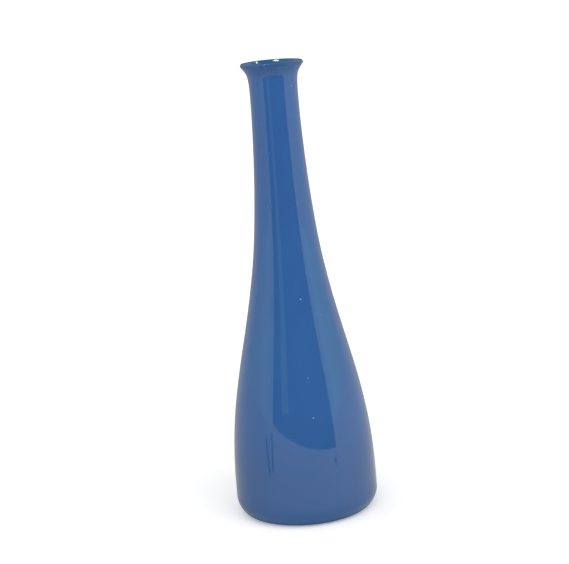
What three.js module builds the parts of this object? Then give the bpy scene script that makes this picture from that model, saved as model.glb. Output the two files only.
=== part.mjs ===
// A ceramic bud vase: a slender bottle with a full, low belly, a long neck and a flared lip.
// It is one fired piece in three layers, and each layer is a solid of its own:
//   clay_body    the slip-cast clay shell, bare only under the foot
//   outer_glaze  the glaze over the outside and the lip, which fades out at the edge of the foot
//   inner_glaze  the glaze that lines the hollow and makes it hold water
// Millimetres, +Z up. The origin is the centre of the foot, on the plane that the vase stands on.

import * as THREE from "three";

// ---- Driving dimensions of the finished, glazed vase ----
const HEIGHT = 265; // standing plane to the crest of the lip
const BELLY_RADIUS = 41.7; // outside, where the foot's rounding ends
const BELLY_HEIGHT = 11;
const SHOULDER_RADIUS = 20.45; // outside, where the belly has drawn in and the neck begins
const SHOULDER_HEIGHT = 150;
const NECK_RADIUS = 13.76; // outside, at the narrowest place
const NECK_HEIGHT = 247;
const LIP_RADIUS = 18; // outside, at the widest place of the lip
const LIP_THICKNESS = 2.7;

const FOOT_RADIUS = 32; // outer edge of the ring that touches the table
const FOOT_RING_WIDTH = 5;
const FOOT_RING_CHAMFER = 1; // on the ring's inner side
const FOOT_RECESS = 2; // how far the underside stands clear of the table inside the ring
const FLOOR_THICKNESS = 4.6; // clay and lining together
const FLOOR_CORNER_RADIUS = 10; // inside, where the floor turns up into the wall
const WALL_THICKNESS = 4.2; // clay and both glazes together
const GLAZE_THICKNESS = 0.4; // one coat

// The wall's lean away from upright at the ends of its three stretches, outward positive.
const BELLY_LEAN = THREE.MathUtils.degToRad(0.8);
const SHOULDER_LEAN = THREE.MathUtils.degToRad(-9);
const NECK_LEAN = 0;
const LIP_LEAN = THREE.MathUtils.degToRad(38);

// How firmly each stretch holds its lean at its lower and upper end: the length of the curve's handle there.
const BELLY_HANDLES = [59.4, 55.5];
const NECK_HANDLES = [23.9, 31.6];
const FLARE_HANDLES = [11.2, 4.9];
const THROAT_HANDLES = [6, 6]; // the flare's inside, which opens more evenly than its outside

// Steps along each stretch, and round the axis.
const ROUNDING_STEPS = 6;
const BELLY_STEPS = 8;
const NECK_STEPS = 5;
const FLARE_STEPS = 4;
const NOSE_STEPS = 4;
const TURN_STEPS = 48;
const GLAZE_LINE = 1; // the step of the foot's rounding at which the outer glaze begins

// ---- Curves of the finished surface, as (radius, height) ----
const point = (radius, height) => new THREE.Vector2(radius, height);

// Rows of points one after another, without the point that two neighbours share.
function joined(rows) {
  return rows.flatMap((row, i) => (i === 0 ? row : row.slice(1)));
}

// A quarter of an ellipse that turns up from level to upright.
function rounding(radius, bottom, across, up) {
  const curve = new THREE.EllipseCurve(radius, bottom + up, across, up, -Math.PI / 2, 0);
  return curve.getPoints(ROUNDING_STEPS);
}

// A smooth stretch of wall between two places, each with its lean.
function stretch(from, fromLean, to, toLean, handles, steps) {
  const [lower, upper] = handles;
  const fromHandle = point(Math.sin(fromLean), Math.cos(fromLean)).multiplyScalar(lower);
  const toHandle = point(Math.sin(toLean), Math.cos(toLean)).multiplyScalar(upper);
  const curve = new THREE.CubicBezierCurve(from, from.clone().add(fromHandle), to.clone().sub(toHandle), to);
  return curve.getPoints(steps);
}

// Belly, neck and flare, from low on the belly up to the lip. `inset` moves the wall towards the axis.
function wall(startHeight, inset, lipEnd, flareHandles) {
  const belly = point(BELLY_RADIUS - inset, startHeight);
  const shoulder = point(SHOULDER_RADIUS - inset, SHOULDER_HEIGHT);
  const neck = point(NECK_RADIUS - inset, NECK_HEIGHT);
  return joined([
    stretch(belly, BELLY_LEAN, shoulder, SHOULDER_LEAN, BELLY_HANDLES, BELLY_STEPS),
    stretch(shoulder, SHOULDER_LEAN, neck, NECK_LEAN, NECK_HANDLES, NECK_STEPS),
    stretch(neck, NECK_LEAN, lipEnd, LIP_LEAN, flareHandles, FLARE_STEPS),
  ]);
}

// The nose of the lip is half a circle, tilted with the flare.
function lipNose() {
  const radius = LIP_THICKNESS / 2;
  const start = -LIP_LEAN;
  const nose = new THREE.EllipseCurve(
    LIP_RADIUS - radius, HEIGHT - radius, radius, radius, start, start + Math.PI,
  );
  return nose.getPoints(NOSE_STEPS);
}

// The finished surface in one run: foot, outer wall, lip, inner wall and floor, ending on the axis.
const nose = lipNose();
const outerRun = joined([
  rounding(FOOT_RADIUS, 0, BELLY_RADIUS - FOOT_RADIUS, BELLY_HEIGHT),
  wall(BELLY_HEIGHT, 0, nose[0], FLARE_HANDLES),
  nose,
]);
const floorHeight = FOOT_RECESS + FLOOR_THICKNESS;
const floorRadius = BELLY_RADIUS - WALL_THICKNESS - FLOOR_CORNER_RADIUS;
const innerRun = joined([
  wall(floorHeight + FLOOR_CORNER_RADIUS, WALL_THICKNESS, nose.at(-1), THROAT_HANDLES).toReversed(),
  rounding(floorRadius, floorHeight, FLOOR_CORNER_RADIUS, FLOOR_CORNER_RADIUS).toReversed(),
  [point(floorRadius, floorHeight), point(0, floorHeight)],
]);
const finished = joined([outerRun, innerRun]);
const lipIndex = outerRun.length - 1; // the inner end of the nose, where the two glazes meet

// The clay lies under the finished surface by one coat, square to it, and reaches it at the glaze line.
const clay = finished.map((place, i) => {
  const before = finished[Math.max(i - 1, 0)];
  const after = finished[Math.min(i + 1, finished.length - 1)];
  const along = after.clone().sub(before).normalize();
  const depth = i > GLAZE_LINE ? GLAZE_THICKNESS : 0;
  return point(place.x - along.y * depth, place.y + along.x * depth);
});

// ---- Materials ----
const bareClay = new THREE.MeshStandardMaterial({ color: 0xd8cbb6, roughness: 0.85, metalness: 0 });
const blueGlaze = new THREE.MeshStandardMaterial({ color: 0x305c9b, roughness: 0.08, metalness: 0 });
const liningGlaze = new THREE.MeshStandardMaterial({ color: 0x2d5a92, roughness: 0.12, metalness: 0 });

// ---- Sub-parts ----
// A profile of (radius, height), closed or ending on the axis, turned about +Z.
function turned(name, profile, material) {
  const geometry = new THREE.LatheGeometry(profile, TURN_STEPS).rotateX(Math.PI / 2);
  const mesh = new THREE.Mesh(geometry, material);
  mesh.name = name;
  return mesh;
}

function clayBody() {
  const ringInside = FOOT_RADIUS - FOOT_RING_WIDTH;
  const underside = [
    point(0, FOOT_RECESS),
    point(ringInside - FOOT_RING_CHAMFER, FOOT_RECESS),
    point(ringInside, 0),
  ];
  return turned("clay_body", [...underside, ...clay], bareClay);
}

// The outer coat starts at nothing at the glaze line and ends square at the lip's inner edge.
function outerGlaze() {
  const surface = finished.slice(GLAZE_LINE, lipIndex + 1);
  const underneath = clay.slice(GLAZE_LINE, lipIndex + 1).toReversed();
  return turned("outer_glaze", [...surface, ...underneath], blueGlaze);
}

// The lining starts where the outer coat ends and covers the floor right across the axis.
function innerGlaze() {
  const surface = finished.slice(lipIndex);
  const underneath = clay.slice(lipIndex).toReversed();
  return turned("inner_glaze", [...underneath, ...surface], liningGlaze);
}

const vase = new THREE.Group();
vase.name = "bud_vase";
vase.add(clayBody(), outerGlaze(), innerGlaze());

export default vase;
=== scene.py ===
# A glossy blue bud vase on a plain pale floor, in the soft light of a white photographer's tent.
#
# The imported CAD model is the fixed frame. The clay shell and the two coats of glaze are turned again here
# on the CAD's own curves, finely enough for a glossy surface and with the unevenness of real glaze.
# Lengths are in metres, and places on the profile are (radius, height).

import math
from random import Random

import bmesh
import bpy
import numpy as np
from mathutils import Matrix, Vector, noise


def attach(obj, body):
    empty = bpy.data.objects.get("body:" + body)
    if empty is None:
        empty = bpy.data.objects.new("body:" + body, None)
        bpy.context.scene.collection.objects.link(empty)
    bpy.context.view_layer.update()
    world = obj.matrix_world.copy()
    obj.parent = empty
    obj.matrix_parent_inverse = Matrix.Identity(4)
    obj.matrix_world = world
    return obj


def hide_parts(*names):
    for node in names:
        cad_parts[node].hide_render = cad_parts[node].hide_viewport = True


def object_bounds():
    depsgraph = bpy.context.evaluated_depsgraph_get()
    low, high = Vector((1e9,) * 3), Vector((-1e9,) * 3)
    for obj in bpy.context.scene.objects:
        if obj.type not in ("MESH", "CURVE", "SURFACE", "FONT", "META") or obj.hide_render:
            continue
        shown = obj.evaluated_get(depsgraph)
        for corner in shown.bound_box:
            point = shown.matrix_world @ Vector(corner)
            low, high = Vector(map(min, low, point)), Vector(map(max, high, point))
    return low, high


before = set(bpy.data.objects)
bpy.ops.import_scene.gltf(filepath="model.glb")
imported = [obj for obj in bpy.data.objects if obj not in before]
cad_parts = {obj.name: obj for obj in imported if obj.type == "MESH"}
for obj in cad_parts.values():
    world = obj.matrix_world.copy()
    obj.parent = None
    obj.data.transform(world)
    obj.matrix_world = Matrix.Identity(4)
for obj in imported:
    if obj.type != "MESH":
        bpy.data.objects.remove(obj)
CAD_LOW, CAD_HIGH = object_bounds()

MM = 0.001

# ---- Driving dimensions: the CAD model's own ----
HEIGHT = CAD_HIGH.z
BELLY_RADIUS = CAD_HIGH.x
BELLY_HEIGHT = 11 * MM
SHOULDER_RADIUS = 20.45 * MM
SHOULDER_HEIGHT = 150 * MM
NECK_RADIUS = 13.76 * MM
NECK_HEIGHT = 247 * MM
LIP_RADIUS = 18 * MM
LIP_THICKNESS = 2.7 * MM
FOOT_RADIUS = 32 * MM
FOOT_RING_WIDTH = 5 * MM
FOOT_RING_CHAMFER = 1 * MM
FOOT_RECESS = 2 * MM
FLOOR_THICKNESS = 4.6 * MM
FLOOR_CORNER_RADIUS = 10 * MM
WALL_THICKNESS = 4.2 * MM
GLAZE_THICKNESS = 0.4 * MM

BELLY_LEAN = math.radians(0.8)
SHOULDER_LEAN = math.radians(-9)
NECK_LEAN = 0.0
LIP_LEAN = math.radians(38)
BELLY_HANDLES = (59.4 * MM, 55.5 * MM)
NECK_HANDLES = (23.9 * MM, 31.6 * MM)
FLARE_HANDLES = (11.2 * MM, 4.9 * MM)
THROAT_HANDLES = (6 * MM, 6 * MM)  # the flare's inside, which opens more evenly than its outside

# ---- The unevenness of glaze, which the CAD model leaves out ----
GLAZE_LINE = math.radians(11)  # how far round the foot's rounding the glaze begins, on average
GLAZE_LINE_WANDER = math.radians(2.0)
GLAZE_LINE_NOISE = ((2.2, 0.7), (9.0, 0.3))  # (fineness, share) of its slow and its quick wander
GLAZE_EDGE = math.radians(14)  # how much further round the coat reaches its full thickness
FOOT_BEAD = 0.10 * MM  # the coat gathers into a low bead just above its edge
FOOT_BEAD_REACH = 3 * GLAZE_EDGE
GLAZE_WAVES = ((26 * MM, 0.045 * MM), (9 * MM, 0.007 * MM))  # (length, height) of the coat's slow ripples
WAVES_GROW = (2 * MM, 14 * MM)  # the heights between which the ripples reach their full size
WAVES_FADE = (HEIGHT - 12 * MM, HEIGHT - 4 * MM)  # and between which they die away
SEED_STRIDE = (7.3, 3.1, 5.7)  # how far each seed moves the noise on

# ---- How finely the profile is turned ----
SEGMENTS = 192  # steps round the axis
OUTSIDE_STEPS = (110, 80, 36)  # up the belly, the neck and the flare
INSIDE_STEPS = (80, 60, 30)
NOSE_STEPS = 30
CORNER_STEPS = 16
FLOOR_STEPS = 10
GLAZED_ROUNDING_STEPS = 24  # round the foot's rounding, on the finished surface
CLAY_ROUNDING_STEPS = 40  # round it on the clay, where it is bare as well as where it is glazed
UNDERSIDE_POINTS = (12, 5, 7)  # across the recess, its chamfer and the foot ring
HIDDEN_FINENESS = 0.25  # the share of the steps that the clay under the glaze gets
WELD_DISTANCE = 0.001 * MM
SHARP_ANGLE = math.radians(40)


# ---- Curves of the profile ----
def place(radius, height):
    return np.array([radius, height])


def toward(lean):
    """The unit step up a wall that leans out by that much."""
    return place(math.sin(lean), math.cos(lean))


def stretch(start, start_lean, finish, finish_lean, handles, steps):
    """A smooth stretch of wall between two places, each with its lean."""
    t = np.linspace(0, 1, steps + 1)[:, None]
    start_handle = start + toward(start_lean) * handles[0]
    finish_handle = finish - toward(finish_lean) * handles[1]
    return (
        (1 - t) ** 3 * start
        + 3 * (1 - t) ** 2 * t * start_handle
        + 3 * (1 - t) * t**2 * finish_handle
        + t**3 * finish
    )


def arc(centre, across, up, first, last, steps):
    """Part of an ellipse, from one angle to another."""
    t = np.linspace(first, last, steps + 1)[:, None]
    return centre + np.hstack([np.cos(t) * across, np.sin(t) * up])


def joined(*rows):
    """Rows of places one after another, without the place that two neighbours share."""
    return np.vstack([rows[0], *[row[1:] for row in rows[1:]]])


def lip_nose(steps):
    """The half round of the lip, tilted with the flare."""
    radius = LIP_THICKNESS / 2
    centre = place(LIP_RADIUS - radius, HEIGHT - radius)
    return arc(centre, radius, radius, -LIP_LEAN, math.pi - LIP_LEAN, steps)


def wall(start_height, inset, lip_end, flare_handles, steps):
    """Belly, neck and flare, from low on the belly up to the lip, moved towards the axis by the inset."""
    belly_steps, neck_steps, flare_steps = steps
    belly = place(BELLY_RADIUS - inset, start_height)
    shoulder = place(SHOULDER_RADIUS - inset, SHOULDER_HEIGHT)
    neck = place(NECK_RADIUS - inset, NECK_HEIGHT)
    return joined(
        stretch(belly, BELLY_LEAN, shoulder, SHOULDER_LEAN, BELLY_HANDLES, belly_steps),
        stretch(shoulder, SHOULDER_LEAN, neck, NECK_LEAN, NECK_HANDLES, neck_steps),
        stretch(neck, NECK_LEAN, lip_end, LIP_LEAN, flare_handles, flare_steps),
    )


def foot_rounding(first, steps):
    """The outside turn from the foot ring up into the belly, from an angle past its lowest place."""
    centre = place(FOOT_RADIUS, BELLY_HEIGHT)
    return arc(centre, BELLY_RADIUS - FOOT_RADIUS, BELLY_HEIGHT, first - math.pi / 2, 0, steps)


def outer_wall(fineness=1):
    """The finished outside from the end of the foot's rounding over the lip to its inner edge."""
    nose = lip_nose(round(NOSE_STEPS * fineness))
    steps = [round(n * fineness) for n in OUTSIDE_STEPS]
    return joined(wall(BELLY_HEIGHT, 0, nose[0], FLARE_HANDLES, steps), nose)


def inner_wall(fineness=1):
    """The finished inside from the lip's inner edge down to the middle of the floor."""
    steps = [round(n * fineness) for n in INSIDE_STEPS]
    corner_steps = round(CORNER_STEPS * fineness)
    floor_steps = round(FLOOR_STEPS * fineness)
    floor_height = FOOT_RECESS + FLOOR_THICKNESS
    floor_radius = BELLY_RADIUS - WALL_THICKNESS - FLOOR_CORNER_RADIUS
    corner_centre = place(floor_radius, floor_height + FLOOR_CORNER_RADIUS)
    upright = wall(corner_centre[1], WALL_THICKNESS, lip_nose(1)[-1], THROAT_HANDLES, steps)
    corner = arc(corner_centre, FLOOR_CORNER_RADIUS, FLOOR_CORNER_RADIUS, 0, -math.pi / 2, corner_steps)
    flat = np.linspace(place(floor_radius, floor_height), place(0, floor_height), floor_steps + 1)
    return joined(upright[::-1], corner, flat)


def under(surface, depth):
    """The places that lie under a surface by that depth, square to it."""
    along = np.gradient(surface, axis=0)
    along /= np.linalg.norm(along, axis=1)[:, None]
    return surface + np.stack([-along[:, 1], along[:, 0]], axis=1) * np.asarray(depth).reshape(-1, 1)


# ---- Turning a profile about the axis ----
TURN = np.linspace(0, 2 * math.pi, SEGMENTS, endpoint=False)


def all_round(profile):
    """The same profile at every step round the axis: an array of (place, step, radius and height)."""
    return np.repeat(profile[:, None, :], SEGMENTS, axis=1)


def points_of(profiles):
    """The points in space of an array of (place, step, radius and height), as one list."""
    radius, height = profiles[..., 0], profiles[..., 1]
    return np.stack([radius * np.cos(TURN), radius * np.sin(TURN), height], axis=-1).reshape(-1, 3)


def added(name, data):
    """A new object in the scene."""
    obj = bpy.data.objects.new(name, data)
    bpy.context.scene.collection.objects.link(obj)
    return obj


def turned(name, profiles, closes_on_itself):
    """A closed surface from an array of (place, step, radius and height)."""
    rows = len(profiles)
    step = np.arange(SEGMENTS)
    next_step = (step + 1) % SEGMENTS
    faces = []
    for row in range(rows if closes_on_itself else rows - 1):
        low, high = row * SEGMENTS, (row + 1) % rows * SEGMENTS
        faces.append(np.stack([low + step, low + next_step, high + next_step, high + step], axis=1))
    mesh = bpy.data.meshes.new(name)
    mesh.from_pydata(points_of(profiles).tolist(), [], np.vstack(faces).tolist())
    shape = bmesh.new()
    shape.from_mesh(mesh)
    bmesh.ops.remove_doubles(shape, verts=shape.verts, dist=WELD_DISTANCE)
    bmesh.ops.recalc_face_normals(shape, faces=shape.faces)
    shape.to_mesh(mesh)
    shape.free()
    mesh.shade_smooth()
    mesh.set_sharp_from_angle(angle=SHARP_ANGLE)
    return added(name, mesh)


def noise_round(profiles, length, seed):
    """Smooth noise from -1 to 1 at every place of a turned surface, with ripples of that length."""
    shift = Vector([seed * stride for stride in SEED_STRIDE])
    values = [noise.noise(Vector(point) / length + shift) for point in points_of(profiles)]
    return np.array(values).reshape(profiles.shape[:-1])


def fade(values, start, finish):
    """0 up to start, 1 from finish on, and a smooth rise between."""
    t = np.clip((values - start) / (finish - start), 0, 1)
    return t * t * (3 - 2 * t)


def rippled(profiles, seed):
    """The surface with the slow ripples of a coat, which die away towards the foot and the lip."""
    height = profiles[..., 1]
    room = fade(height, *WAVES_GROW) * (1 - fade(height, *WAVES_FADE))
    ripples = sum(
        size * noise_round(profiles, length, seed + i) for i, (length, size) in enumerate(GLAZE_WAVES)
    )
    profiles = profiles.copy()
    profiles[..., 0] += ripples * room
    return profiles


# ---- The three layers ----
def glaze_line():
    """How far round the foot's rounding the glaze begins, at every step round the axis."""
    points = [Vector((math.cos(turn), math.sin(turn), 0.0)) for turn in TURN]
    wander = sum(
        share * np.array([noise.noise(point * fineness) for point in points])
        for fineness, share in GLAZE_LINE_NOISE
    )
    return GLAZE_LINE + GLAZE_LINE_WANDER * wander


def foot_surfaces(start, steps):
    """The foot's rounding, from an angle given at each step round the axis, and the clay under it."""
    finished, clay = [], []
    for first, line in zip(start, glaze_line()):
        surface = foot_rounding(first, steps)
        angle = np.linspace(first, math.pi / 2, steps + 1)
        cover = fade(angle, line, line + GLAZE_EDGE)
        bead = FOOT_BEAD * np.sin(np.pi * fade(angle, line, line + FOOT_BEAD_REACH))
        finished.append(under(surface, -bead))
        clay.append(under(surface, GLAZE_THICKNESS * cover))
    return np.stack(finished, axis=1), np.stack(clay, axis=1)


def outer_coat():
    """The glaze over the outside and the lip."""
    foot, foot_clay = foot_surfaces(glaze_line(), GLAZED_ROUNDING_STEPS)
    surface = rippled(all_round(outer_wall()), seed=1)
    clay = all_round(under(outer_wall(HIDDEN_FINENESS), GLAZE_THICKNESS))
    skin = np.concatenate([foot, surface[1:], clay[:0:-1], foot_clay[:0:-1]])
    return turned("glaze_outside", skin, closes_on_itself=True)


def inner_coat():
    """The glaze that lines the hollow."""
    surface = rippled(all_round(inner_wall()), seed=11)
    clay = all_round(under(inner_wall(HIDDEN_FINENESS), GLAZE_THICKNESS))
    return turned("glaze_inside", np.concatenate([clay[::-1], surface]), closes_on_itself=False)


def clay_shell():
    """The clay, from the middle of the underside round the foot, up the outside and down the hollow."""
    ring_inside = FOOT_RADIUS - FOOT_RING_WIDTH
    corners = [
        place(0, FOOT_RECESS),
        place(ring_inside - FOOT_RING_CHAMFER, FOOT_RECESS),
        place(ring_inside, 0),
        place(FOOT_RADIUS, 0),
    ]
    underside = joined(*[np.linspace(*span) for span in zip(corners, corners[1:], UNDERSIDE_POINTS)])
    _, foot = foot_surfaces(np.zeros(SEGMENTS), CLAY_ROUNDING_STEPS)
    walls = joined(outer_wall(HIDDEN_FINENESS), inner_wall(HIDDEN_FINENESS))
    walls = all_round(under(walls, GLAZE_THICKNESS))
    skin = np.concatenate([all_round(underside)[:-1], foot, walls[1:]])
    return turned("clay_shell", skin, closes_on_itself=False)


# ---- Small flaws in the glaze ----
# Pale pinholes, each (angle from the front, height, radius).
PINHOLES = [
    (13.2, 131.3 * MM, 0.46 * MM),
    (10.4, 64.9 * MM, 0.42 * MM),
    (9.8, 87.3 * MM, 0.32 * MM),
    (47.6, 251.2 * MM, 0.42 * MM),
]
# Smaller ones, scattered between these angles, and these heights and radii in millimetres.
STRAY_PINHOLES = 26
STRAY_SEED = 5
STRAY_ANGLES = (30, 345)
STRAY_HEIGHTS = (12, 245)
STRAY_RADII = (0.08, 0.2)
PINHOLE_RISE = 0.3  # a pinhole's height over its radius
PINHOLE_STEPS = (16, 10)  # round it and from pole to pole


def on_the_wall(degrees, height):
    """The place and the outward direction on the outside of the wall, by the angle from the front."""
    profile = joined(foot_rounding(0, GLAZED_ROUNDING_STEPS), outer_wall()[: -NOSE_STEPS - 1])
    slope = np.interp(height, profile[1:, 1], np.diff(profile[:, 0]) / np.diff(profile[:, 1]))
    radius = np.interp(height, profile[:, 1], profile[:, 0])
    angle = math.radians(degrees - 90)
    level = Vector((math.cos(angle), math.sin(angle), 0))
    return level * radius + Vector((0, 0, height)), (level - Vector((0, 0, slope))).normalized()


def mesh_of(name, shape):
    """A mesh from a bmesh, which is then let go."""
    mesh = bpy.data.meshes.new(name)
    shape.to_mesh(mesh)
    shape.free()
    return mesh


def facing(direction):
    """The turn that points +Z in a direction."""
    return direction.to_track_quat("Z", "Y").to_matrix().to_4x4()


def pinholes():
    """Low rounded rims of glaze, healed over where a bubble broke."""
    chance = Random(STRAY_SEED)
    marks = list(PINHOLES)
    for _ in range(STRAY_PINHOLES):
        degrees = chance.uniform(*STRAY_ANGLES)
        height = chance.uniform(*STRAY_HEIGHTS) * MM
        marks.append((degrees, height, chance.uniform(*STRAY_RADII) * MM))
    shape = bmesh.new()
    around, down = PINHOLE_STEPS
    for degrees, height, radius in marks:
        centre, outward = on_the_wall(degrees, height)
        squash = Matrix.Diagonal((radius, radius, radius * PINHOLE_RISE, 1))
        matrix = Matrix.Translation(centre) @ facing(outward) @ squash
        bmesh.ops.create_uvsphere(shape, u_segments=around, v_segments=down, radius=1, matrix=matrix)
    mesh = mesh_of("glaze_pinholes", shape)
    mesh.shade_smooth()
    return added("glaze_pinholes", mesh)


# ---- Materials ----
def colour(red, green, blue):
    return (red, green, blue, 1.0)


def grey(light):
    return colour(light, light, light)


def colour_socket(sockets, name):
    """A Mix node's socket of that name, from the set that works on colours."""
    return next(socket for socket in sockets if socket.name == name and socket.enabled)


class Nodes:
    """A short way to write a node tree."""

    def __init__(self, tree):
        self.tree = tree
        tree.nodes.clear()

    def add(self, kind, **settings):
        node = self.tree.nodes.new(kind)
        for name, value in settings.items():
            setattr(node, name, value)
        return node

    def link(self, source, target):
        self.tree.links.new(source, target)

    def feed(self, socket, value):
        """Sets a socket, or links it if the value is another node's output."""
        if isinstance(value, bpy.types.NodeSocket):
            self.link(value, socket)
        else:
            socket.default_value = value

    def math(self, operation, *values):
        node = self.add("ShaderNodeMath", operation=operation)
        for socket, value in zip(node.inputs, values):
            self.feed(socket, value)
        return node.outputs[0]

    def parts(self, vector):
        """The X, Y and Z of a vector."""
        node = self.add("ShaderNodeSeparateXYZ")
        self.link(vector, node.inputs[0])
        return node.outputs

    def axis_distance(self, vector):
        """How far a place is from the vase's axis."""
        level = self.add("ShaderNodeVectorMath", operation="MULTIPLY")
        self.link(vector, level.inputs[0])
        level.inputs[1].default_value = (1.0, 1.0, 0.0)
        length = self.add("ShaderNodeVectorMath", operation="LENGTH")
        self.link(level.outputs[0], length.inputs[0])
        return length.outputs["Value"]

    def noise(self, vector, size, detail, roughness=0.5):
        """Noise from 0 to 1 with grains of that size."""
        node = self.add("ShaderNodeTexNoise")
        self.link(vector, node.inputs["Vector"])
        node.inputs["Scale"].default_value = 1 / size
        node.inputs["Detail"].default_value = detail
        node.inputs["Roughness"].default_value = roughness
        return node.outputs["Fac"]

    def scale(self, value, low, high, new_low, new_high):
        """A value's range stretched to a new one, smoothly and without overshoot."""
        node = self.add("ShaderNodeMapRange", interpolation_type="SMOOTHSTEP")
        for name, number in zip(("From Min", "From Max", "To Min", "To Max"), (low, high, new_low, new_high)):
            node.inputs[name].default_value = number
        self.link(value, node.inputs["Value"])
        return node.outputs["Result"]

    def mix(self, share, first, second, blend="MIX"):
        """A share of the second colour laid over the first."""
        node = self.add("ShaderNodeMix", data_type="RGBA", blend_type=blend, clamp_result=False)
        for name, value in zip(("Factor", "A", "B"), (share, first, second)):
            self.feed(colour_socket(node.inputs, name), value)
        return colour_socket(node.outputs, "Result")

    def multiply(self, first, second):
        """One colour times another."""
        return self.mix(1.0, first, second, "MULTIPLY")

    def bump(self, height, strength, distance, normal=None):
        node = self.add("ShaderNodeBump")
        self.link(height, node.inputs["Height"])
        self.feed(node.inputs["Strength"], strength)
        node.inputs["Distance"].default_value = distance
        if normal is not None:
            self.link(normal, node.inputs["Normal"])
        return node.outputs["Normal"]


def new_material(name):
    """A material with its nodes, its shader, and its coordinates on the object."""
    material = bpy.data.materials.new(name)
    material.use_nodes = True
    nodes = Nodes(material.node_tree)
    shader = nodes.add("ShaderNodeBsdfPrincipled")
    output = nodes.add("ShaderNodeOutputMaterial")
    nodes.link(shader.outputs["BSDF"], output.inputs["Surface"])
    where = nodes.add("ShaderNodeTexCoord").outputs["Object"]
    return material, nodes, shader, where


# The middle of a noise's range, which is stretched to fill a new one. A narrow middle makes firm patches.
SOFT_MIDDLE = (0.30, 0.70)
FIRM_MIDDLE = (0.35, 0.65)

GLAZE_BLUE = colour(0.0215, 0.0880, 0.2530)
GLAZE_DEEP = colour(0.0195, 0.0800, 0.2400)  # where the coat is thick
GLAZE_FOOT_DARK = colour(0.0170, 0.0620, 0.1700)  # darker towards the foot
GLAZE_FLARE_SHADE = colour(0.0200, 0.0700, 0.1900)  # painted shade over the flare and the lip, darker than the body
# The lining's two colours below are the blue glaze painted greener, a tint standing in for the shade inside
# the hollow.
LINING_SHADE_TEAL = colour(0.0215, 0.107, 0.248)  # the lining, painted greener for its shade
LINING_SHADE_TEAL_DEEP = colour(0.0195, 0.100, 0.236)
GLAZE_IOR = 1.5
CLOUD_SIZE, CLOUD_SHARE = 38 * MM, 0.7  # broad drifts of pigment
GRAIN_SIZE, GRAIN_SHARE = 0.9 * MM, 0.3  # fine specks of it
FOOT_DARK_HEIGHTS, FOOT_DARK_SHARE = (20 * MM, 75 * MM), 0.6  # the darker blue towards the foot: from its full share up to where it ends
# Painted shade over the flare: the heights where it begins and where it is full, and its share.
FLARE_HEIGHTS, FLARE_SHADE_SHARE = (HEIGHT - 9 * MM, HEIGHT - 3 * MM), 0.9
GLOSS_HEIGHTS = (HEIGHT - 9 * MM, HEIGHT - 4 * MM)
GLOSS, FLARE_GLOSS = 0.5, 0.32
SMEAR_SIZE, SMEAR_ROUGHNESS = 14 * MM, (0.035, 0.075)  # slow changes in how sharply it mirrors
PEEL_SIZE, PEEL_DEPTH = 2.6 * MM, 0.02 * MM
PEEL_HEIGHTS = (HEIGHT - 12 * MM, HEIGHT - 6 * MM)
PEEL, FLARE_PEEL = 0.35, 0.08


def glaze(name, tint=GLAZE_BLUE, deep=GLAZE_DEEP, flare_shade=GLAZE_FLARE_SHADE):
    """Glossy glaze with faint clouds and specks of pigment, which is darker towards the foot.

    It has a slight orange peel, and is duller and smoother over the flare, where painted shade darkens its
    colour."""
    material, nodes, shader, where = new_material(name)
    height = nodes.parts(where)["Z"]

    clouds = nodes.scale(nodes.noise(where, CLOUD_SIZE, detail=4.0), *FIRM_MIDDLE, 0.0, 1.0)
    grain = nodes.scale(nodes.noise(where, GRAIN_SIZE, detail=2.0), *SOFT_MIDDLE, 0.0, 1.0)
    thick = nodes.math("MULTIPLY_ADD", clouds, CLOUD_SHARE, nodes.math("MULTIPLY", grain, GRAIN_SHARE))
    body = nodes.mix(thick, tint, deep)
    # Painted shade: a darker blue over the flare and the lip.
    body = nodes.mix(nodes.scale(height, *FLARE_HEIGHTS, 0.0, FLARE_SHADE_SHARE), body, flare_shade)
    # Darker towards the foot.
    body = nodes.mix(nodes.scale(height, *FOOT_DARK_HEIGHTS, FOOT_DARK_SHARE, 0.0), body, GLAZE_FOOT_DARK)
    nodes.link(body, shader.inputs["Base Color"])

    shader.inputs["IOR"].default_value = GLAZE_IOR
    gloss = nodes.scale(height, *GLOSS_HEIGHTS, GLOSS, FLARE_GLOSS)
    nodes.link(gloss, shader.inputs["Specular IOR Level"])
    smear = nodes.noise(where, SMEAR_SIZE, detail=2.0)
    nodes.link(nodes.scale(smear, *SOFT_MIDDLE, *SMEAR_ROUGHNESS), shader.inputs["Roughness"])
    peel = nodes.scale(height, *PEEL_HEIGHTS, PEEL, FLARE_PEEL)
    peel = nodes.bump(nodes.noise(where, PEEL_SIZE, detail=1.0), peel, PEEL_DEPTH)
    nodes.link(peel, shader.inputs["Normal"])
    return material


PINHOLE_BLUE = colour(0.30, 0.42, 0.66)
PINHOLE_DEEP = colour(0.045, 0.125, 0.280)
PINHOLE_GRAIN_SIZE = 0.15 * MM
PINHOLE_ROUGHNESS = 0.12


def pinhole_glaze():
    """Thin pale glaze over a healed bubble."""
    material, nodes, shader, where = new_material("pinhole_glaze")
    grain = nodes.noise(where, PINHOLE_GRAIN_SIZE, detail=2.0)
    nodes.link(nodes.mix(grain, PINHOLE_BLUE, PINHOLE_DEEP), shader.inputs["Base Color"])
    shader.inputs["Roughness"].default_value = PINHOLE_ROUGHNESS
    return material


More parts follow.
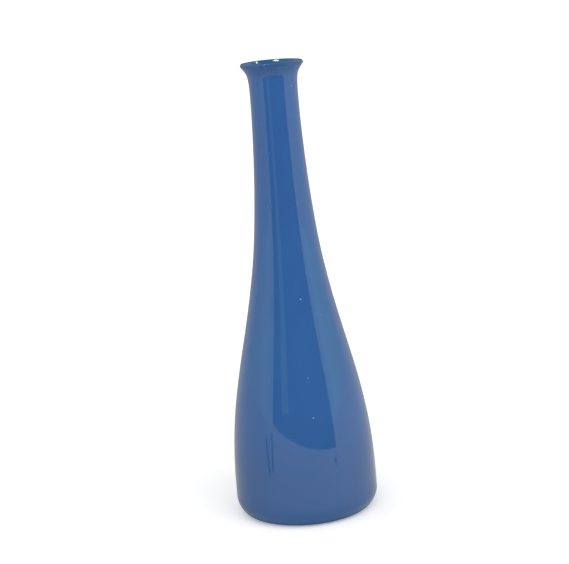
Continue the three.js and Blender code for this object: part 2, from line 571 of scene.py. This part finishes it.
CLAY_BUFF = colour(0.69, 0.60, 0.47)
CLAY_DARK = colour(0.52, 0.42, 0.30)
CLAY_FLASH_AND_SHADE = colour(0.10, 0.075, 0.06)  # the dark line where clay meets glaze, partly toasted clay and partly painted shade where the foot meets the floor
IRON_BROWN = colour(0.20, 0.11, 0.06)
CLAY_GRAIN_SIZE, CLAY_GRAIN_SHARE = 0.35 * MM, 0.35
CLAY_PATCH_SIZE, CLAY_PATCH_SHARE = 9 * MM, 0.25
IRON_SPACING, IRON_SHARE = 1.7 * MM, 0.8
IRON_SPECK = (0.06, 0.12)  # a speck's full and outer radius, in spacings
# The dark edge, partly toasted and partly painted shade: its width and its share.
TOAST_AND_SHADE_WIDTH, TOAST_AND_SHADE_SHARE = 1.8 * MM, 0.75
CLAY_ROUGHNESS = (0.72, 0.92)
CLAY_GRAIN_BUMP = (0.5, 0.05 * MM)  # (strength, depth)
TURNING_LINE_PITCH = 0.8 * MM
TURNING_LINE_BUMP = (0.25, 0.03 * MM)


def bisque():
    """Bare fired clay: fine grain, a few iron specks, turning lines under the foot, and a dark edge at the
    glaze line, partly toasted clay and partly painted shade where the foot meets the floor.
    """
    material, nodes, shader, where = new_material("bisque")
    grain = nodes.noise(where, CLAY_GRAIN_SIZE, detail=4.0, roughness=0.7)
    grain = nodes.scale(grain, *SOFT_MIDDLE, 0.0, 1.0)
    patches = nodes.noise(where, CLAY_PATCH_SIZE, detail=3.0)
    patches = nodes.scale(patches, *FIRM_MIDDLE, 0.0, CLAY_PATCH_SHARE)
    body = nodes.mix(nodes.math("MULTIPLY", grain, CLAY_GRAIN_SHARE), CLAY_BUFF, CLAY_DARK)
    body = nodes.mix(patches, body, CLAY_DARK)

    iron = nodes.add("ShaderNodeTexVoronoi")
    nodes.link(where, iron.inputs["Vector"])
    iron.inputs["Scale"].default_value = 1 / IRON_SPACING
    specks = nodes.scale(iron.outputs["Distance"], *IRON_SPECK, IRON_SHARE, 0.0)
    body = nodes.mix(specks, body, IRON_BROWN)

    radius = nodes.axis_distance(where)
    line_radius = FOOT_RADIUS + (BELLY_RADIUS - FOOT_RADIUS) * math.sin(GLAZE_LINE)
    # A dark band just inside the glaze line: partly a toasted edge, partly painted shade where the foot meets
    # the floor.
    toast_and_shade = nodes.scale(radius, line_radius - TOAST_AND_SHADE_WIDTH, line_radius, 0.0, TOAST_AND_SHADE_SHARE)
    body = nodes.mix(toast_and_shade, body, CLAY_FLASH_AND_SHADE)
    nodes.link(body, shader.inputs["Base Color"])

    nodes.link(nodes.scale(grain, 0.0, 1.0, *CLAY_ROUGHNESS), shader.inputs["Roughness"])
    lines = nodes.math("SINE", nodes.math("MULTIPLY", radius, 2 * math.pi / TURNING_LINE_PITCH))
    rough = nodes.bump(grain, *CLAY_GRAIN_BUMP)
    nodes.link(nodes.bump(lines, *TURNING_LINE_BUMP, rough), shader.inputs["Normal"])
    return material


# ---- The object ----
def dressed(piece, material, slot, *nodes):
    """Gives a piece its material and its body, and hides the CAD nodes it stands for. The slot is not used.
    """
    piece.data.materials.append(material)
    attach(piece, "root")
    if nodes:
        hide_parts(*nodes)


dressed(clay_shell(), bisque(), "bare_clay", "clay_body")
dressed(outer_coat(), glaze("glaze"), "blue_glaze", "outer_glaze")
# The lining is the same glaze, painted greener for the shade in the hollow.
lining = glaze("glaze_lining", tint=LINING_SHADE_TEAL, deep=LINING_SHADE_TEAL_DEEP, flare_shade=LINING_SHADE_TEAL)
dressed(inner_coat(), lining, "lining_glaze", "inner_glaze")
dressed(pinholes(), pinhole_glaze(), "blue_glaze")


# ---- Camera ----
CAMERA_DISTANCE = 0.99375  # from the vase's axis, level
CAMERA_HEIGHT = 0.3432
CAMERA_DOWN = math.radians(11.708)
CAMERA_ASIDE = math.radians(0.173)  # how far left of the axis it looks
CAMERA_ROLL = math.radians(4.83)
CAMERA_LENS = 110.5  # millimetres
CAMERA_SENSOR = 36.0  # millimetres


def add_camera():
    camera = added("camera", bpy.data.cameras.new("camera"))
    camera.data.lens = CAMERA_LENS
    camera.data.sensor_width = CAMERA_SENSOR
    turn = (
        Matrix.Rotation(CAMERA_ASIDE, 4, "Z")
        @ Matrix.Rotation(math.pi / 2 - CAMERA_DOWN, 4, "X")
        @ Matrix.Rotation(-CAMERA_ROLL, 4, "Z")
    )
    camera.matrix_world = Matrix.Translation((0, -CAMERA_DISTANCE, CAMERA_HEIGHT)) @ turn
    bpy.context.scene.camera = camera


add_camera()


# ---- Stage: floor, tent and lights ----
# The camera sees a plain white floor and background. What the glaze mirrors of them is less even.
WHITE = grey(1.0)
MATT_ROUGHNESS = 0.9


def matt(shader, glow):
    """Makes a surface mirror nothing and glow by itself, as a lit table or fabric does."""
    shader.inputs["Roughness"].default_value = MATT_ROUGHNESS
    shader.inputs["Specular IOR Level"].default_value = 0.0
    shader.inputs["Emission Strength"].default_value = glow


def plain_material(name, shade, glow, cast=WHITE):
    material, _, shader, _ = new_material(name)
    shader.inputs["Base Color"].default_value = grey(shade)
    shader.inputs["Emission Color"].default_value = cast
    matt(shader, glow)
    return material


def light_round_about(nodes, x, y, stops):
    """Light by the angle round the vase, from (angle from the front, light) in order, -180 to 180 degrees."""
    angle = nodes.math("ARCTAN2", x, nodes.math("MULTIPLY", y, -1.0))
    ramp = nodes.add("ShaderNodeValToRGB")
    nodes.link(nodes.math("MULTIPLY_ADD", angle, 0.5 / math.pi, 0.5), ramp.inputs[0])
    marks = ramp.color_ramp.elements
    while len(marks) > 1:
        marks.remove(marks[-1])
    for i, (degrees, light) in enumerate(stops):
        mark = marks[0] if i == 0 else marks.new(0.5 + degrees / 360)
        mark.position = 0.5 + degrees / 360
        mark.color = grey(light)
    return ramp.outputs["Color"]


def sheet_of(name, corners, faces, material):
    """A flat piece of the stage."""
    mesh = bpy.data.meshes.new(name)
    mesh.from_pydata(corners, [], faces)
    mesh.materials.append(material)
    sheet = added(name, mesh)
    return sheet


def only_mirrored(obj):
    """Hides a thing from everything but the glaze, which mirrors it."""
    obj.visible_camera = False
    obj.visible_diffuse = False
    obj.visible_shadow = False


FLOOR_REACH = 30.0
FLOOR_SHADE, FLOOR_GLOW = 0.90, 0.25
# How the glaze mirrors it: its cast, its light by the angle from the front, and two soft shadows round the
# foot, each (nearest distance, furthest distance, share of the light at the nearest).
FLOOR_CREAM = colour(1.0, 0.99, 0.90)
FLOOR_LIGHT = [
    (-180, 0.12), (-160, 0.35), (-140, 0.62), (-70, 0.80), (-40, 0.92), (10, 0.98),
    (55, 1.15), (90, 1.0), (140, 0.68), (160, 0.38), (180, 0.12),
]
FLOOR_SHADOWS = ((20 * MM, 105 * MM, 0.62), (33 * MM, 42 * MM, 0.15))


def add_floor():
    """A white floor. The glaze mirrors it as lit less behind, and much less close round the foot."""
    r = FLOOR_REACH
    corners = [(-r, -r, 0), (r, -r, 0), (r, r, 0), (-r, r, 0)]
    material, nodes, shader, where = new_material("floor")
    x, y, _ = nodes.parts(where)
    mirrored = nodes.multiply(light_round_about(nodes, x, y, FLOOR_LIGHT), FLOOR_CREAM)
    distance = nodes.axis_distance(where)
    for near, far, share in FLOOR_SHADOWS:
        mirrored = nodes.multiply(mirrored, nodes.scale(distance, near, far, share, 1.0))
    path = nodes.add("ShaderNodeLightPath")
    lit = nodes.mix(path.outputs["Is Glossy Ray"], WHITE, mirrored)
    nodes.link(nodes.multiply(lit, grey(FLOOR_SHADE)), shader.inputs["Base Color"])
    nodes.link(lit, shader.inputs["Emission Color"])
    matt(shader, FLOOR_GLOW)
    sheet_of("floor", corners, [(0, 1, 2, 3)], material)


# The tent's open front, as the vase sees it: a dark flap with a slit. Its hem slants in two stretches.
FLAP_DISTANCE = 0.24
FLAP_TOP = 0.395
FLAP_LEFT, FLAP_LEFT_HEM = -0.260, 0.061
FLAP_MIDDLE, FLAP_MIDDLE_HEM = 0.045, 0.028
FLAP_RIGHT, FLAP_RIGHT_HEM = 0.310, 0.0
FLAP_SHADE, FLAP_GLOW = 0.02, 0.15
SLIT_LEFT, SLIT_RIGHT = -0.143, -0.085
SLIT_BOTTOM = 0.082
SLIT_GLOW = 0.56
SLIT_TEAL = colour(0.78, 1.06, 1.10)


def add_flap():
    columns = [FLAP_LEFT, SLIT_LEFT, SLIT_RIGHT, FLAP_MIDDLE, FLAP_RIGHT]
    hems = np.interp(
        columns, [FLAP_LEFT, FLAP_MIDDLE, FLAP_RIGHT], [FLAP_LEFT_HEM, FLAP_MIDDLE_HEM, FLAP_RIGHT_HEM]
    )
    corners = [(x, -FLAP_DISTANCE, z) for x, hem in zip(columns, hems) for z in (hem, SLIT_BOTTOM, FLAP_TOP)]
    # Each column has three corners: at the hem, at the height of the slit's bottom, and at the top.
    cloth, slit = [], []
    for column in range(len(columns) - 1):
        left, right = 3 * column, 3 * column + 3
        cloth.append((left, right, right + 1, left + 1))
        above = slit if columns[column] == SLIT_LEFT else cloth
        above.append((left + 1, right + 1, right + 2, left + 2))
    flap_cloth = plain_material("flap", FLAP_SHADE, FLAP_GLOW)
    slit_cloth = plain_material("flap_slit", FLAP_SHADE, SLIT_GLOW, SLIT_TEAL)
    only_mirrored(sheet_of("flap", corners, cloth, flap_cloth))
    only_mirrored(sheet_of("flap_slit", corners, slit, slit_cloth))


# Dim pegs that stand on the floor in front, each by its foot and its tip.
PEGS = (
    ((-0.143, -0.108, 0.0), (-0.150, -0.097, 0.043)),
    ((-0.1475, -0.131, 0.0), (-0.1465, -0.133, 0.050)),
    ((0.157, -0.147, 0.0), (0.158, -0.147, 0.010)),
)
PEG_RADIUS = 0.0045
PEG_SIDES = 16
PEG_SHADE, PEG_GLOW = 0.05, 0.18


def add_pegs():
    shape = bmesh.new()
    for foot, tip in PEGS:
        rise = Vector(tip) - Vector(foot)
        bmesh.ops.create_cone(
            shape, cap_ends=True, segments=PEG_SIDES, radius1=PEG_RADIUS, radius2=PEG_RADIUS,
            depth=rise.length, matrix=Matrix.Translation(Vector(foot) + rise / 2) @ facing(rise),
        )
    mesh = mesh_of("pegs", shape)
    mesh.materials.append(plain_material("pegs", PEG_SHADE, PEG_GLOW))
    pegs = added("pegs", mesh)
    only_mirrored(pegs)


# The tent as the glaze mirrors it. X and Z are those of the direction to it, as a unit vector.
TENT_LIGHT = [
    (-180, 0.12), (-158, 0.42), (-135, 0.64), (-112, 0.70), (-68, 1.14), (-45, 0.90),
    (46, 0.90), (70, 1.30), (112, 0.78), (138, 0.70), (158, 0.42), (180, 0.12),
]
TENT_UPPER_Z, TENT_UPPER_LIGHT = (0.25, 0.55), 0.88  # above the sides, the same light all round
TENT_TEAL = colour(0.95, 1.34, 1.16)  # the cast of its right side
TENT_GREEN = colour(0.95, 1.18, 1.04)  # and of its left side
TENT_CAST_X = (0.4, 0.95)  # where the casts begin and where they are full, on either side
ROOF_ELEVATIONS = (math.radians(50), math.radians(62))  # where the roof begins and where it is full
ROOF_X = (-0.35, -0.02)  # where its lighter left part ends, and where its dark part begins
ROOF_CHANGE = (-0.15, -0.82)  # the change in light on each part


def add_tent():
    """The world: white fabric, brightest at the sides, darkest low down behind and overhead."""
    world = bpy.data.worlds.new("tent")
    bpy.context.scene.world = world
    world.use_nodes = True
    nodes = Nodes(world.node_tree)
    x, y, z = nodes.parts(nodes.add("ShaderNodeTexCoord").outputs["Generated"])
    sides = light_round_about(nodes, x, y, TENT_LIGHT)
    sides = nodes.mix(nodes.scale(z, *TENT_UPPER_Z, 0.0, 1.0), sides, grey(TENT_UPPER_LIGHT))
    overhead = nodes.scale(z, *map(math.sin, ROOF_ELEVATIONS), 0.0, 1.0)
    change = nodes.scale(x, *ROOF_X, *ROOF_CHANGE)
    roof = nodes.math("MULTIPLY_ADD", overhead, change, 1.0)
    path = nodes.add("ShaderNodeLightPath")
    tinted = WHITE
    for side, cast in ((1, TENT_TEAL), (-1, TENT_GREEN)):
        start, full = (side * edge for edge in TENT_CAST_X)
        share = nodes.scale(x, start, full, 0.0, 1.0)
        share = nodes.math("MULTIPLY", share, path.outputs["Is Glossy Ray"])
        tinted = nodes.mix(share, tinted, cast)
    seen = nodes.multiply(nodes.multiply(sides, tinted), roof)
    light = nodes.mix(path.outputs["Is Camera Ray"], seen, WHITE)
    background = nodes.add("ShaderNodeBackground")
    nodes.link(light, background.inputs["Color"])
    output = nodes.add("ShaderNodeOutputWorld")
    nodes.link(background.outputs[0], output.inputs["Surface"])


SOFT_LIGHT_ANGLE = math.radians(70)
ROOM_LAMP_DISTANCE = 1.3
ROOM_LAMP_DEPTH = 0.06


def add_light(name, kind, azimuth, elevation, distance, energy):
    """A light that points at the lip, placed by the angle from the front and the angle up, in degrees."""
    light = added(name, bpy.data.lights.new(name, kind))
    light.data.energy = energy
    azimuth, elevation = math.radians(azimuth), math.radians(elevation)
    level = math.cos(elevation)
    way = Vector((math.sin(azimuth) * level, -math.cos(azimuth) * level, math.sin(elevation)))
    light.matrix_world = Matrix.Translation(Vector((0, 0, HEIGHT)) + way * distance) @ facing(way)
    return light


def add_soft_light():
    """The broad soft light from above and in front, a little to the right."""
    light = add_light("overhead", "SUN", azimuth=15, elevation=42, distance=2.0, energy=1.48)
    light.data.angle = SOFT_LIGHT_ANGLE
    light.visible_glossy = False


def add_room_lamp(name, azimuth, elevation, length, tilt, energy):
    """A strip lamp over the open top of the tent, tilted out of level, which the throat mirrors."""
    lamp = add_light(name, "AREA", azimuth, elevation, ROOM_LAMP_DISTANCE, energy)
    lamp.data.shape = "RECTANGLE"
    lamp.data.size = length
    lamp.data.size_y = ROOM_LAMP_DEPTH
    lamp.matrix_world = lamp.matrix_world @ Matrix.Rotation(math.radians(tilt), 4, "Z")
    lamp.visible_camera = False
    lamp.visible_diffuse = False


add_floor()
add_flap()
add_pegs()
add_tent()
add_soft_light()
add_room_lamp("room_lamp_left", azimuth=-38, elevation=67.5, length=0.34, tilt=26, energy=2.9)
add_room_lamp("room_lamp_right", azimuth=93, elevation=52, length=0.10, tilt=0, energy=1.0)

bpy.context.scene.view_settings.view_transform = "Standard"
bpy.context.scene.view_settings.look = "None"
